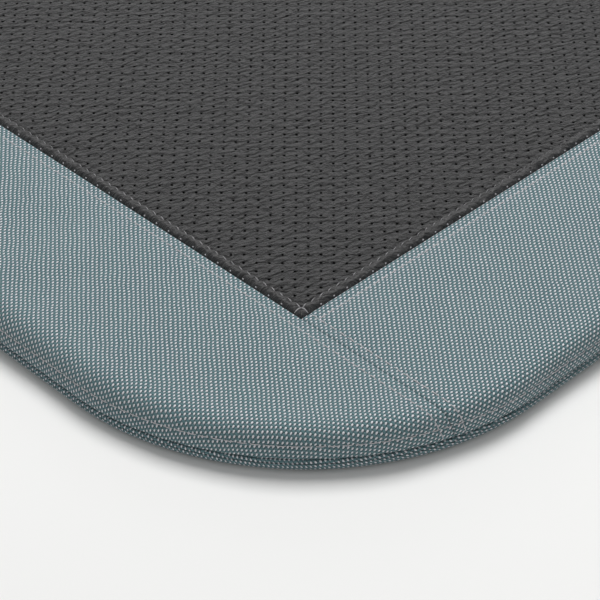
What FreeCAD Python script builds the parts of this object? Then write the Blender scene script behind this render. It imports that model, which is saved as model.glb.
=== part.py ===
"""Kneeling pad: a flat foam slab in a sewn cloth cover, with a knee panel on top and a zip below.

Millimetres, +Z up. The origin is the middle of the underside, on the floor.
X is the long way of the pad. The zip lies along X, near the rear (+Y) edge.
"""
import FreeCAD, Part
import math
import os

import Sketcher
from FreeCAD import Placement, Rotation, Vector

doc = FreeCAD.newDocument("KneelingPad")

# ---------------------------------------------------------------- sizes
SIZES = {
    # the whole pad
    "overall_length": 480.0,       # along X
    "overall_width": 340.0,        # along Y
    "overall_height": 14.0,        # floor to the top of the cover
    "corner_radius": 96.0,         # outline, seen from above
    "shoulder_radius": 6.0,        # where the top turns down into the side
    "foot_radius": 3.0,            # where the side turns under
    # cover
    "side_border": 66.5,           # cloth border at the left and right
    "long_border": 65.0,           # cloth border at the front and rear
    "cloth": 0.9,                  # cloth thickness
    "hide": 1.2,                   # knee panel thickness
    "wadding_thickness": 2.0,
    "foam_ease": 0.3,              # room between the foam and the cover's rim
    "allowance": 9.0,              # seam allowance of the top seams, pressed open
    "rim_seam_height": 4.6,        # edge seam above the floor
    "rim_rise": 2.2,               # edge seam's allowances, above the start of the shoulder
    # stitching
    "thread": 0.5,
    "panel_stitch_inset": 3.5,     # topstitch on the knee panel to its seam
    "border_stitch_inset": 4.0,    # topstitch on the cloth to its seam
    "rim_stitch_rise": 1.6,        # edge topstitch, above the start of the shoulder
    # zip
    "zip_rear_inset": 80.0,        # zip line to the rear edge
    "zip_end_inset": 75.0,         # chain end to the pad's end
    "zip_well_end": 30.0,          # how far the well runs past the chain
    "mouth_end": 3.0,              # how far the mouth runs past the chain
    "mouth": 5.5,                  # zip line to either folded cloth edge
    "well_half": 14.0,             # zip line to where the cloth starts down
    "well_run": 7.0,               # width of the cloth's slope down to the floor
    "tape_tail": 12.0,             # tape past each end of the chain
    "tape_width": 10.0,            # coil to the tape's outer edge
    "tape_thickness": 0.5,
    "tape_height": 3.75,           # underside of the tape above the floor
    "coil_width": 1.85,            # one side of the chain
    "coil_thickness": 1.7,
    "chain_gap": 0.35,             # zip line to either coil
    "zip_stitch_inset": 3.0,       # zip topstitch to the folded cloth edge
    "zip_room": 0.4,               # zip to the foam above it
    "stop_length": 2.4,
    "stop_thickness": 2.2,
    # slider and pull
    "slider_length": 9.0,
    "slider_front": 7.6,           # width at the wide end
    "slider_back": 6.2,            # width at the narrow end
    "slider_plate": 0.6,
    "slider_corner": 0.9,
    "slider_gap": 0.15,            # slider to tape and coil
    "slider_side_gap": 0.5,        # coil to the slider's side wall
    "slider_web": 0.4,             # web that joins the slider's two plates
    "slider_web_length": 2.5,
    "slider_stop_gap": 1.0,        # slider to an end stop
    "arch_width": 1.6,
    "arch_span": 7.3,
    "arch_foot": 0.9,
    "arch_clear": 1.3,             # slider plate to the inside of the arch
    "arch_thickness": 0.6,
    "pull_length": 22.0,
    "pull_width": 5.6,
    "pull_thickness": 0.9,
    "pull_side_gap": 0.3,          # arch to the pull's arms
    "pull_foot_gap": 0.6,          # arch foot to the pull's plate
}

DERIVED = {
    "half_length": "overall_length / 2",
    "half_width": "overall_width / 2",
    "panel_x": "half_length - side_border",
    "panel_y": "half_width - long_border",
    "shoulder_start": "overall_height - shoulder_radius",
    "rim_top": "shoulder_start + rim_rise",
    "rim_stitch_height": "shoulder_start + rim_stitch_rise",
    # how far the shoulder has turned in where the edge topstitch runs
    "rim_stitch_inset": "shoulder_radius - sqrt(shoulder_radius^2 - rim_stitch_rise^2)",
    "foam_inset": "3 * cloth + foam_ease",
    "zip_line": "half_width - zip_rear_inset",
    "chain_half": "half_length - zip_end_inset",
    "coil_half": "chain_half - stop_length",
    "well_x": "chain_half + zip_well_end",
    "well_height": "tape_height - cloth",
    "tape_top": "tape_height + tape_thickness",
    "tape_middle": "tape_height + tape_thickness / 2",
    "coil_outer": "chain_gap + coil_width",
    "coil_low": "tape_middle - coil_thickness / 2",
    "coil_high": "tape_middle + coil_thickness / 2",
    "slider_low": "coil_low - slider_gap - slider_plate",
    "slider_high": "coil_high + slider_gap + slider_plate",
    "pull_axis": "slider_low - arch_clear / 2",
    "arch_low": "slider_low - arch_clear - arch_thickness",
    # the closed zip: the slider stands just short of the top stops
    "slider_rest": "coil_half - slider_stop_gap - slider_length / 2",
}


def qualified(formula):
    """Puts 'Sizes.' before each size that the formula names."""
    text = ""
    word = ""
    for letter in formula + " ":
        if letter.isalnum() or letter == "_":
            word += letter
            continue
        known = word in SIZES or word in DERIVED
        text += ("Sizes." + word if known else word) + letter
        word = ""
    return text.strip()


def fill_sheet():
    """Writes the driving sizes as plain numbers and the derived ones as formulas."""
    cells = doc.addObject("Spreadsheet::Sheet", "Sizes")
    row = 0
    for name, value in list(SIZES.items()) + list(DERIVED.items()):
        row += 1
        cells.set("A%d" % row, name)
        cells.set("B%d" % row, str(value) if name in SIZES else "=" + value)
        cells.setAlias("B%d" % row, name)
    doc.recompute()
    return cells


sheet = fill_sheet()
PIECES = []


def piece(obj, label):
    """Marks a finished object as a sub-part, which gets a file of its own."""
    obj.Label = label
    PIECES.append(obj)
    return obj


# ---------------------------------------------------------------- building helpers
def block(name, x, y, z):
    """A box between pairs of formulas along X, Y and Z."""
    box = doc.addObject("Part::Box", name)
    for side, axis, (low, high) in (("Length", "x", x), ("Width", "y", y), ("Height", "z", z)):
        box.setExpression(side, qualified("(%s) - (%s)" % (high, low)))
        box.setExpression("Placement.Base." + axis, qualified(low))
    return box


def fuse(name, *parts):
    """One solid from several that touch or overlap."""
    joined = doc.addObject("Part::MultiFuse", name)
    joined.Shapes = list(parts)
    joined.Refine = True
    return joined


def group(name, *parts):
    """Separate solids of one kind, kept apart in one object."""
    bundle = doc.addObject("Part::Compound", name)
    bundle.Links = list(parts)
    return bundle


def cut(name, base, tool):
    result = doc.addObject("Part::Cut", name)
    result.Base = base
    result.Tool = tool
    return result


def common(name, one, other):
    result = doc.addObject("Part::MultiCommon", name)
    result.Shapes = [one, other]
    return result


def rounded_outline(sketch, tag, inset):
    """Draws the pad's outline, moved in by the inset, with its sizes tied to the sheet."""
    margin = float(sheet.cloth)     # the drawing's first guess; the constraints set the size
    half_x = float(sheet.half_length) - margin
    half_y = float(sheet.half_width) - margin
    radius = float(sheet.corner_radius) - margin
    centre_x = half_x - radius
    centre_y = half_y - radius
    centres = [(centre_x, centre_y), (-centre_x, centre_y),
               (-centre_x, -centre_y), (centre_x, -centre_y)]
    sides = [((centre_x, half_y), (-centre_x, half_y)),
             ((-half_x, centre_y), (-half_x, -centre_y)),
             ((-centre_x, -half_y), (centre_x, -half_y)),
             ((half_x, -centre_y), (half_x, centre_y))]
    first = sketch.GeometryCount
    for turn in range(4):
        circle = Part.Circle(Vector(*centres[turn], 0), Vector(0, 0, 1), radius)
        start = turn * math.pi / 2
        sketch.addGeometry(Part.ArcOfCircle(circle, start, start + math.pi / 2), False)
        begin, end = sides[turn]
        sketch.addGeometry(Part.LineSegment(Vector(*begin, 0), Vector(*end, 0)), False)
    for turn in range(4):
        arc = first + 2 * turn
        next_arc = first + (2 * turn + 2) % 8
        sketch.addConstraint(Sketcher.Constraint("Tangent", arc, 2, arc + 1, 1))
        sketch.addConstraint(Sketcher.Constraint("Tangent", arc + 1, 2, next_arc, 1))
        if turn:
            sketch.addConstraint(Sketcher.Constraint("Equal", first, arc))
    rear, left, front, right = first + 1, first + 3, first + 5, first + 7
    for line in (rear, front):
        sketch.addConstraint(Sketcher.Constraint("Horizontal", line))
    for line in (left, right):
        sketch.addConstraint(Sketcher.Constraint("Vertical", line))
    sizes = [
        ("right", Sketcher.Constraint("DistanceX", -1, 1, right, 1, half_x), "half_length"),
        ("left", Sketcher.Constraint("DistanceX", left, 1, -1, 1, half_x), "half_length"),
        ("rear", Sketcher.Constraint("DistanceY", -1, 1, rear, 1, half_y), "half_width"),
        ("front", Sketcher.Constraint("DistanceY", front, 1, -1, 1, half_y), "half_width"),
        ("radius", Sketcher.Constraint("Radius", first, radius), "corner_radius"),
    ]
    for side, constraint, size in sizes:
        index = sketch.addConstraint(constraint)
        sketch.renameConstraint(index, tag + side)
        formula = qualified("%s - (%s)" % (size, inset))
        sketch.setExpression("Constraints." + tag + side, formula)


def new_sketch(body, name, height):
    """A sketch on the body's own XY plane, raised to a height."""
    sketch = body.newObject("Sketcher::SketchObject", name)
    plane = [item for item in body.Origin.OriginFeatures if item.Role == "XY_Plane"][0]
    sketch.AttachmentSupport = [(plane, "")]
    sketch.MapMode = "FlatFace"
    sketch.setExpression("AttachmentOffset.Base.z", qualified(height))
    return sketch


def pad_up(body, name, sketch, height):
    pad = body.newObject("PartDesign::Pad", name)
    pad.Profile = sketch
    pad.setExpression("Length", qualified(height))
    doc.recompute()
    return pad


def edges_where(shape, test):
    """Names of the edges whose every vertex passes the test."""
    names = []
    for number, edge in enumerate(shape.Edges, start=1):
        if all(test(vertex.Point) for vertex in edge.Vertexes):
            names.append("Edge%d" % number)
    return names


def round_over(body, name, base, level, radius):
    """Rounds the edges of the base feature that lie at one height."""
    height = base.Shape.BoundBox.ZMax if level == "top" else base.Shape.BoundBox.ZMin
    fillet = body.newObject("PartDesign::Fillet", name)
    names = edges_where(base.Shape, lambda point: abs(point.z - height) < 1e-6)
    fillet.Base = (base, names)
    fillet.setExpression("Radius", qualified(radius))
    doc.recompute()
    return fillet


def slab(name, inset, low, high, shoulder=None, foot=None):
    """A slab with the pad's outline moved in, and rounded edges above and below."""
    body = doc.addObject("PartDesign::Body", name)
    sketch = new_sketch(body, name + "Outline", low)
    rounded_outline(sketch, "", inset)
    feature = pad_up(body, name + "Pad", sketch, "(%s) - (%s)" % (high, low))
    if shoulder:
        feature = round_over(body, name + "Shoulder", feature, "top", shoulder)
    if foot:
        feature = round_over(body, name + "Foot", feature, "bottom", foot)
    return body


def ring(name, outer, inner, low, high):
    """An upright band that follows the pad's outline between two insets."""
    body = doc.addObject("PartDesign::Body", name)
    sketch = new_sketch(body, name + "Outline", low)
    rounded_outline(sketch, "outer_", outer)
    rounded_outline(sketch, "inner_", inner)
    pad_up(body, name + "Pad", sketch, "(%s) - (%s)" % (high, low))
    return body


def frustum(name, low, high):
    """The zip well's room: wide at its low side, sloping in to the well's flat roof."""
    wedge = doc.addObject("Part::Wedge", name)
    ends = {"Xmax": "well_x + well_run", "X2max": "well_x",
            "Zmax": "well_half + well_run", "Z2max": "well_half"}
    for prop, formula in ends.items():
        wedge.setExpression(prop, qualified(formula))
        wedge.setExpression(prop.replace("max", "min"), qualified("-(%s)" % formula))
    wedge.Ymin = 0
    wedge.setExpression("Ymax", qualified("(%s) - (%s)" % (high, low)))
    wedge.Placement = Placement(Vector(0, 0, 0), Rotation(Vector(1, 0, 0), 90))
    wedge.setExpression("Placement.Base.y", qualified("zip_line"))
    wedge.setExpression("Placement.Base.z", qualified(low))
    return wedge


# ---------------------------------------------------------------- cover envelopes
WHOLE_X = ("-half_length - cloth", "half_length + cloth")
WHOLE_Y = ("-half_width - cloth", "half_width + cloth")

outer = slab("OuterEnvelope", "0", "0", "overall_height", "shoulder_radius", "foot_radius")
inner = slab("InnerEnvelope", "cloth", "cloth", "overall_height - cloth",
             "shoulder_radius - cloth", "foot_radius - cloth")
skin = cut("CoverSkin", outer, inner)
strip_rim = ring("StripRim", "cloth", "2 * cloth", "rim_seam_height", "rim_top")

ABOVE_SEAM = ("rim_seam_height", "overall_height + cloth")
UNDER_CLOTH = ("overall_height - 2 * cloth", "overall_height - cloth")
FRONT = ("-half_width - cloth", "-panel_y")
REAR = ("panel_y", "half_width + cloth")
LEFT = ("-half_length - cloth", "-panel_x")
RIGHT = ("panel_x", "half_length + cloth")
BETWEEN = ("-panel_y", "panel_y")


# ---------------------------------------------------------------- cloth border
def strip(name, x, y, folds):
    """One border strip: its share of the skin, its edge allowance and its folded seams."""
    region = block(name + "Region", x, y, ABOVE_SEAM)
    face = common(name + "Face", skin, region)
    rim = common(name + "Rim", strip_rim, region)
    layers = []
    for number, (fold_x, fold_y) in enumerate(folds, start=1):
        band = block("%sFold%d" % (name, number), fold_x, fold_y, UNDER_CLOTH)
        layers.append(common("%sAllowance%d" % (name, number), inner, band))
    return fuse(name, face, rim, *layers)


def border():
    """Two long strips run the whole length; two short ones butt against them."""
    along_front = ("-panel_y - allowance", "-panel_y")
    along_rear = ("panel_y", "panel_y + allowance")
    piece(strip("FrontStrip", WHOLE_X, FRONT, [(WHOLE_X, along_front)]), "front_strip")
    piece(strip("RearStrip", WHOLE_X, REAR, [(WHOLE_X, along_rear)]), "rear_strip")
    low_end = ("-panel_y", "-panel_y + allowance")
    high_end = ("panel_y - allowance", "panel_y")
    beside = ("-panel_x - allowance", "-panel_x")
    piece(strip("LeftStrip", LEFT, BETWEEN,
                [(beside, BETWEEN), (LEFT, low_end), (LEFT, high_end)]), "left_strip")
    beside = ("panel_x", "panel_x + allowance")
    piece(strip("RightStrip", RIGHT, BETWEEN,
                [(beside, BETWEEN), (RIGHT, low_end), (RIGHT, high_end)]), "right_strip")


# ---------------------------------------------------------------- knee panel and wadding
INSIDE_X = ("-panel_x + allowance", "panel_x - allowance")
INSIDE_Y = ("-panel_y + allowance", "panel_y - allowance")


def knee_panel():
    """The panel with its four edges folded under, and the wadding between the folds."""
    under = ("overall_height - 2 * hide", "overall_height - hide")
    plate = block("PanelFace", ("-panel_x", "panel_x"), BETWEEN,
                  ("overall_height - hide", "overall_height"))
    under_all = block("PanelUnder", ("-panel_x", "panel_x"), BETWEEN, under)
    under_room = block("PanelUnderRoom", INSIDE_X, INSIDE_Y, under)
    folds = cut("PanelFolds", under_all, under_room)
    piece(fuse("KneePanel", plate, folds), "knee_panel")
    wadding = block("Wadding", INSIDE_X, INSIDE_Y,
                    ("overall_height - hide - wadding_thickness", "overall_height - hide"))
    piece(wadding, "panel_wadding")


# ---------------------------------------------------------------- foam core
def foam_core():
    """The slab, with steps where layers of cover and the zip press into it."""
    above = "overall_height + cloth"
    steps = [
        block("FoamUnderPanel", ("-panel_x", "panel_x"), BETWEEN,
              ("overall_height - 2 * hide", above)),
        block("FoamUnderWadding", INSIDE_X, INSIDE_Y,
              ("overall_height - hide - wadding_thickness", above)),
        block("FoamUnderFrontSeam", WHOLE_X, ("-panel_y - allowance", "-panel_y + allowance"),
              ("overall_height - 2 * cloth", above)),
        block("FoamUnderRearSeam", WHOLE_X, ("panel_y - allowance", "panel_y + allowance"),
              ("overall_height - 2 * cloth", above)),
        block("FoamUnderSideSeams", ("-panel_x - allowance", "panel_x + allowance"), BETWEEN,
              ("overall_height - 2 * cloth", above)),
        frustum("FoamOverZip", "cloth", "tape_top + zip_room"),
        block("FoamOverSlider", ("-chain_half", "chain_half"),
              ("zip_line - slider_front / 2 - zip_room", "zip_line + slider_front / 2 + zip_room"),
              ("cloth", "slider_high + zip_room")),
    ]
    body = slab("FoamSlab", "foam_inset", "cloth", "overall_height - cloth",
                "shoulder_radius - foam_inset")
    piece(cut("FoamCore", body, fuse("FoamSteps", *steps)), "foam_core")


# ---------------------------------------------------------------- base
def base():
    """The underside: a shallow tray in two panels that meet at the zip, raised to a well."""
    below = block("BelowSeam", WHOLE_X, WHOLE_Y, ("-cloth", "rim_seam_height"))
    floor = common("BaseFloor", skin, below)
    step = ring("BaseStep", "0", "3 * cloth", "rim_seam_height - cloth", "rim_seam_height")
    rim = ring("BaseRim", "2 * cloth", "3 * cloth", "rim_seam_height - cloth", "rim_top")
    roof = frustum("WellRoof", "cloth", "well_height + cloth")
    tray = fuse("BaseTray", floor, step, rim, roof)
    room = frustum("WellRoom", "0", "well_height")
    mouth = block("WellMouth", ("-chain_half - mouth_end", "chain_half + mouth_end"),
                  ("zip_line - mouth", "zip_line + mouth"), ("-cloth", "slider_high"))
    sewn = cut("BaseSewn", tray, fuse("WellAndMouth", room, mouth))
    whole_z = ("-cloth", "overall_height")
    front_side = block("BaseFrontSide", WHOLE_X, ("-half_width - cloth", "zip_line"), whole_z)
    rear_side = block("BaseRearSide", WHOLE_X, ("zip_line", "half_width + cloth"), whole_z)
    piece(common("BaseFront", sewn, front_side), "base_front")
    piece(common("BaseRear", sewn, rear_side), "base_rear")


# ---------------------------------------------------------------- stitching
def around(centre, half="thread / 2"):
    """Two limits, one each side of a centre; half a thread away unless told otherwise."""
    return ("%s - (%s)" % (centre, half), "%s + (%s)" % (centre, half))


def top_stitching():
    """Rows of topstitch beside each top seam, sunk flush, and the seams' own thread."""
    flat = slab("FlatTop", "shoulder_radius", "overall_height - thread", "overall_height")
    on_top = ("overall_height - thread", "overall_height")
    for side, sign in (("front", "-"), ("rear", "")):
        rows = []
        for place, shift in (("Cloth", "+ border_stitch_inset"), ("Panel", "- panel_stitch_inset")):
            centre = "%s(panel_y %s)" % (sign, shift)
            bar = block("Bar%s%s" % (side, place), WHOLE_X, around(centre), on_top)
            rows.append(common("Row%s%s" % (side, place), flat, bar))
        piece(group(side.title() + "SeamTopstitch", *rows), side + "_seam_topstitch")
    between_rows = ("-panel_y + panel_stitch_inset + thread / 2",
                    "panel_y - panel_stitch_inset - thread / 2")
    for side, sign in (("left", "-"), ("right", "")):
        rows = []
        for place, shift in (("Cloth", "+ border_stitch_inset"), ("Panel", "- panel_stitch_inset")):
            centre = "%s(panel_x %s)" % (sign, shift)
            name = "Row%s%s" % (side, place)
            rows.append(block(name, around(centre), between_rows, on_top))
        piece(group(side.title() + "SeamTopstitch", *rows), side + "_seam_topstitch")


def seam_thread():
    """The stitches that join the knee panel and the strips, down in the seams."""
    deep = slab("SeamDepth", "shoulder_radius", "overall_height - cloth - thread",
                "overall_height - cloth")
    level = ("overall_height - cloth - thread", "overall_height - cloth")
    rows = []
    for side, centre in (("Front", "-panel_y"), ("Rear", "panel_y")):
        bar = block("SeamBar" + side, WHOLE_X, around(centre), level)
        rows.append(common("SeamRow" + side, deep, bar))
    for side, centre in (("Left", "-panel_x"), ("Right", "panel_x")):
        rows.append(block("SeamRow" + side, around(centre),
                          ("-panel_y + thread / 2", "panel_y - thread / 2"), level))
    piece(group("PanelSeamThread", *rows), "panel_seam_thread")


def rim_stitching():
    """The topstitch round the edge, and the thread of the edge seam behind the cloth."""
    topstitch = ring("RimTopstitch", "rim_stitch_inset", "rim_stitch_inset + thread",
                     *around("rim_stitch_height"))
    piece(topstitch, "rim_topstitch")
    seam = ring("RimSeamThread", *around("2 * cloth"),
                "rim_seam_height + thread", "rim_seam_height + 2 * thread")
    piece(seam, "rim_seam_thread")


def base_stitching():
    """Topstitch beside the zip, and beside the short seams that carry on to the edges."""
    for side, sign in (("front", "-"), ("rear", "+")):
        centre = "zip_line %s (mouth + zip_stitch_inset)" % sign
        row = block("Zip%sRow" % side, ("-chain_half - tape_tail", "chain_half + tape_tail"),
                    around(centre), ("well_height", "well_height + thread"))
        piece(row, "zip_topstitch_" + side)
    rows = []
    ends = {"Left": ("-half_length + foot_radius", "-well_x - well_run"),
            "Right": ("well_x + well_run", "half_length - foot_radius")}
    flat = slab("FlatUnderside", "foot_radius", "0", "thread")
    for end, x in ends.items():
        for side, sign in (("Front", "-"), ("Rear", "+")):
            centre = "zip_line %s border_stitch_inset" % sign
            bar = block("JointBar%s%s" % (end, side), x, around(centre), ("0", "thread"))
            rows.append(common("JointRow%s%s" % (end, side), flat, bar))
    piece(group("BaseJointTopstitch", *rows), "base_joint_topstitch")


# ---------------------------------------------------------------- zip chain
def across_zip(sign, near, far):
    """A pair of Y limits on one side of the zip line, from near to far."""
    if sign > 0:
        return ("zip_line + %s" % near, "zip_line + %s" % far)
    return ("zip_line - (%s)" % far, "zip_line - (%s)" % near)


def zip_chain():
    """Two tapes, the coil on each, and the stops at both ends."""
    stops = []
    for side, sign in (("front", -1), ("rear", 1)):
        tape = block("ZipTape" + side, ("-chain_half - tape_tail", "chain_half + tape_tail"),
                     across_zip(sign, "coil_outer", "coil_outer + tape_width"),
                     ("tape_height", "tape_top"))
        piece(tape, "zip_tape_" + side)
        coil = block("ZipCoil" + side, ("-coil_half", "coil_half"),
                     across_zip(sign, "chain_gap", "coil_outer"), ("coil_low", "coil_high"))
        piece(coil, "zip_coil_" + side)
        stop = block("TopStop" + side, ("coil_half", "chain_half"),
                     across_zip(sign, "chain_gap", "coil_outer"),
                     around("tape_middle", "stop_thickness / 2"))
        stops.append(stop)
    piece(group("ZipTopStops", *stops), "zip_top_stops")
    bottom = block("ZipBottomStop", ("-chain_half", "-coil_half"),
                   ("zip_line - coil_outer", "zip_line + coil_outer"),
                   around("tape_middle", "stop_thickness / 2"))
    piece(bottom, "zip_bottom_stop")


# ---------------------------------------------------------------- slider and pull
def slider_outline(body):
    """The slider seen from below: wide at the front, narrow at the back, round corners."""
    sketch = new_sketch(body, "SliderOutline", "slider_low")
    long_half = float(sheet.slider_length) / 2
    wide = float(sheet.slider_front) / 2
    narrow = float(sheet.slider_back) / 2
    points = [(long_half, -wide), (long_half, wide), (-long_half, narrow), (-long_half, -narrow)]
    for number in range(4):
        begin = Vector(*points[number], 0)
        end = Vector(*points[(number + 1) % 4], 0)
        sketch.addGeometry(Part.LineSegment(begin, end), False)
    for number in range(4):
        follower = (number + 1) % 4
        sketch.addConstraint(Sketcher.Constraint("Coincident", number, 2, follower, 1))
    sketch.addConstraint(Sketcher.Constraint("Symmetric", 0, 1, 0, 2, -1))
    sketch.addConstraint(Sketcher.Constraint("Symmetric", 2, 1, 2, 2, -1))
    sizes = [
        ("front", Sketcher.Constraint("DistanceY", 0, 1, 0, 2, 2 * wide), "slider_front"),
        ("back", Sketcher.Constraint("DistanceY", 2, 2, 2, 1, 2 * narrow), "slider_back"),
        ("ahead", Sketcher.Constraint("DistanceX", -1, 1, 0, 1, long_half), "slider_length / 2"),
        ("behind", Sketcher.Constraint("DistanceX", 2, 1, -1, 1, long_half), "slider_length / 2"),
    ]
    for name, constraint, formula in sizes:
        index = sketch.addConstraint(constraint)
        sketch.renameConstraint(index, name)
        sketch.setExpression("Constraints." + name, qualified(formula))
    return sketch


def slider_shell():
    """The slider before its channel is cut, moved to where it rests on the chain."""
    body = doc.addObject("PartDesign::Body", "SliderShell")
    pad = pad_up(body, "SliderPad", slider_outline(body), "slider_high - slider_low")
    fillet = body.newObject("PartDesign::Fillet", "SliderCorners")
    names = []
    for number, edge in enumerate(pad.Shape.Edges, start=1):
        if abs(edge.tangentAt(edge.FirstParameter).z) > 0.99:
            names.append("Edge%d" % number)
    fillet.Base = (pad, names)
    fillet.setExpression("Radius", qualified("slider_corner"))
    body.setExpression("Placement.Base.x", qualified("slider_rest"))
    body.setExpression("Placement.Base.y", qualified("zip_line"))
    doc.recompute()
    return body


def along_slider(low, high):
    return ("slider_rest + (%s)" % low, "slider_rest + (%s)" % high)


def zip_slider():
    """Two plates round the chain, a web between them and an arch that holds the pull."""
    whole = along_slider("-slider_length", "slider_length")
    channel = block("SliderChannel", whole,
                    ("zip_line - coil_outer - slider_side_gap",
                     "zip_line + coil_outer + slider_side_gap"),
                    ("coil_low - slider_gap", "coil_high + slider_gap"))
    slots = block("SliderSlots", whole,
                  ("zip_line - slider_front", "zip_line + slider_front"),
                  ("tape_height - slider_gap", "tape_top + slider_gap"))
    plates = cut("SliderPlates", slider_shell(), fuse("SliderRoom", channel, slots))
    web = block("SliderWeb", along_slider("slider_length / 2 - slider_web_length - slider_corner",
                                          "slider_length / 2 - slider_corner"),
                around("zip_line", "slider_web / 2"),
                ("slider_low + slider_plate / 2", "slider_high - slider_plate / 2"))
    width = around("zip_line", "arch_width / 2")
    front_foot = block("ArchFrontFoot", along_slider("arch_span / 2 - arch_foot", "arch_span / 2"),
                       width, ("arch_low", "slider_low + slider_plate / 2"))
    back_foot = block("ArchBackFoot", along_slider("-arch_span / 2", "-arch_span / 2 + arch_foot"),
                      width, ("arch_low", "slider_low + slider_plate / 2"))
    beam = block("ArchBeam", along_slider("-arch_span / 2", "arch_span / 2"), width,
                 ("arch_low", "arch_low + arch_thickness"))
    piece(fuse("ZipSlider", plates, web, front_foot, back_foot, beam), "zip_slider")


def zip_pull():
    """A flat tab whose eye goes round the arch; its crossbar turns under the arch."""
    level = around("pull_axis", "pull_thickness / 2")
    plate = block("PullPlate", along_slider("-pull_length", "0"),
                  around("zip_line", "pull_width / 2"), level)
    eye = block("PullEye", along_slider("-arch_span / 2 - pull_foot_gap", "-pull_thickness / 2"),
                around("zip_line", "arch_width / 2 + pull_side_gap"),
                ("pull_axis - pull_thickness", "pull_axis + pull_thickness"))
    bar = doc.addObject("Part::Cylinder", "PullBar")
    bar.setExpression("Radius", qualified("pull_thickness / 2"))
    bar.setExpression("Height", qualified("pull_width"))
    bar.Placement = Placement(Vector(0, 0, 0), Rotation(Vector(1, 0, 0), -90))
    bar.setExpression("Placement.Base.x", qualified("slider_rest"))
    bar.setExpression("Placement.Base.y", qualified("zip_line - pull_width / 2"))
    bar.setExpression("Placement.Base.z", qualified("pull_axis"))
    tip = doc.addObject("Part::Cylinder", "PullTip")
    tip.setExpression("Radius", qualified("pull_width / 2"))
    tip.setExpression("Height", qualified("pull_thickness"))
    tip.setExpression("Placement.Base.x", qualified("slider_rest - pull_length"))
    tip.setExpression("Placement.Base.y", qualified("zip_line"))
    tip.setExpression("Placement.Base.z", qualified("pull_axis - pull_thickness / 2"))
    piece(fuse("ZipPull", cut("PullWithEye", plate, eye), bar, tip), "zip_pull")


# ---------------------------------------------------------------- make, check and write
def make_all():
    foam_core()
    knee_panel()
    border()
    base()
    top_stitching()
    seam_thread()
    rim_stitching()
    base_stitching()
    zip_chain()
    zip_slider()
    zip_pull()
    doc.recompute()


def check_all():
    """Stops if any object failed to compute or any sub-part has no sound shape."""
    for obj in doc.Objects:
        if "Invalid" in obj.State or "Error" in obj.State:
            raise RuntimeError("%s did not compute: %s" % (obj.Name, obj.State))
    for obj in PIECES:
        shape = obj.Shape
        if shape.isNull() or not shape.isValid() or not shape.Solids:
            raise RuntimeError("%s has no valid shape" % obj.Label)


def write_all():
    os.makedirs("parts", exist_ok=True)
    for obj in PIECES:
        obj.Shape.exportStep("parts/%s.step" % obj.Label)
        solids = len(obj.Shape.Solids)
        print("%-22s %d solid(s) %10.1f mm3" % (obj.Label, solids, obj.Shape.Volume))


make_all()
check_all()
write_all()
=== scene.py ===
import math
import random

import bpy
import numpy as np
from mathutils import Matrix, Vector


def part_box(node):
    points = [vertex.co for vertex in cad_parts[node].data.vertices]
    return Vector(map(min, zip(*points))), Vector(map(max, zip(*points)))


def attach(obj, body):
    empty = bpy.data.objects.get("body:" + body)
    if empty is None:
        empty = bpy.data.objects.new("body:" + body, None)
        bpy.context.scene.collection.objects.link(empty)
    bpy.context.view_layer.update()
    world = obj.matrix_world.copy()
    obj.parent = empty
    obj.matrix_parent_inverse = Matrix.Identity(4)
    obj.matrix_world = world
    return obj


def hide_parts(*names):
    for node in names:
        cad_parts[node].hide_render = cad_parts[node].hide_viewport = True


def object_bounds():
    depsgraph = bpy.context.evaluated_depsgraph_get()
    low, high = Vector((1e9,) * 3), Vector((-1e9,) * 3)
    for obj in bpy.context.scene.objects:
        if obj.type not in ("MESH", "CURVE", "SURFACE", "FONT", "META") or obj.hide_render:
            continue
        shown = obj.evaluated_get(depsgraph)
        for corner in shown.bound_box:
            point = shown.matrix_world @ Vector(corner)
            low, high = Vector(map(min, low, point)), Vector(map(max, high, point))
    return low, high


# Looks of the kneeling pad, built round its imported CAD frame.
# Lengths are in millimetres until a mesh is made. +Z is up and the pad lies on the floor at z = 0.
# The knee panel, the cloth cover, the stitches and the zip's tapes and coils are modelled here.
# The foam, the wadding and the zip's metal parts are the CAD nodes with materials of their own.

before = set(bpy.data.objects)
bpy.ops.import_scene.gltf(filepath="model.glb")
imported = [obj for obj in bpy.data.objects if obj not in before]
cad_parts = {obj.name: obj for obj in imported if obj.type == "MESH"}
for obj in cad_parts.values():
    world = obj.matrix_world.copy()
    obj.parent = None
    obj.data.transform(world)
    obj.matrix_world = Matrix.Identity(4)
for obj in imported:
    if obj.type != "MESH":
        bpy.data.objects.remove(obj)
CAD_BOX = [list(corner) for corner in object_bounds()]
MM = 0.001


def span(node):
    """Lowest and highest corner of a CAD node, in millimetres."""
    low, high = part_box(node)
    return np.array(low) / MM, np.array(high) / MM


# ------------ sizes
HALF = np.array(CAD_BOX[1][:2]) / MM  # half the pad's length and width
TOP = CAD_BOX[1][2] / MM
PANEL = span("knee_panel")[1][:2]  # half the knee panel's length and width
CORNER = 96.0  # the outline's corner radius
CENTRE = HALF - CORNER  # where the corner in +X +Y is centred
QUARTER = CENTRE.sum() + CORNER * math.pi / 2  # a quarter of the outline's length

# Edges in section, from the start of their bend: how far out and how high each Bezier control
# point lies. section() sets the last height, which is the edge seam's.
SHORT_SIDE = [(0, TOP), (5.8, TOP), (6.6, 12.0), (6.65, 0)]
LONG_SIDE = [(0, TOP), (5.5, TOP), (7.7, 10.5), (8.6, 0)]
# The base's edge turns up from the floor and bulges a little past the cover.
BASE_EDGE = [(0, 0), (2.1, 0), (4.3, 1.2), (3.1, 0)]
SEAM_HEIGHT = 3.9  # edge seam above the floor on the straight sides
SEAM_LIFT = 1.1  # how much higher it runs round the corners

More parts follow.
